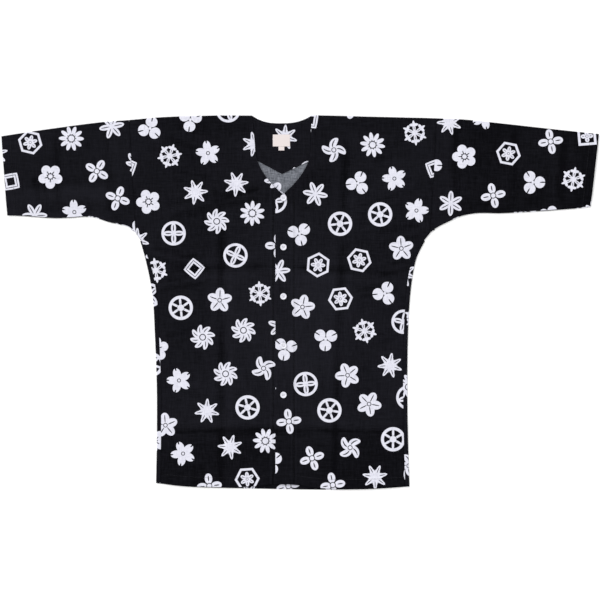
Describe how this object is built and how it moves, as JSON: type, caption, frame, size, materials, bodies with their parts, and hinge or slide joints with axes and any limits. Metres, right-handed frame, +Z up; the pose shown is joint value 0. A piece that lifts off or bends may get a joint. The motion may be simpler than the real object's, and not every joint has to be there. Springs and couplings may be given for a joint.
{
  "type": "koikuchi shirt",
  "caption": "Collarless cotton festival shirt with close straight sleeves and a V neck, buttoned down the front and laid flat on its back.",
  "frame": {"origin": "on the surface that the shirt lies on, on its centre front line, midway between the hem and the shoulders", "axes": "+X towards the wearer's left sleeve, +Y towards the neck, +Z up from the surface"},
  "size_m": [1.218, 0.763, 0.0078],
  "materials": {
    "printed_cotton": "matte plain-weave cotton, black with a scattered white print",
    "facing_cotton": "matte plain-weave cotton, black with the same white print, right side out",
    "label_cloth": "smooth woven cream label, bare",
    "button_plastic": "polished white"
  },
  "bodies": {
    "root": {"back": "printed_cotton", "front_right": "printed_cotton", "front_left": "printed_cotton", "sleeve_right": "printed_cotton", "sleeve_left": "printed_cotton", "neck_facing": "facing_cotton", "label": "label_cloth", "size_tab": "label_cloth", "button_1": "button_plastic", "button_2": "button_plastic", "button_3": "button_plastic", "button_4": "button_plastic", "button_5": "button_plastic"}
  },
  "joints": []
}
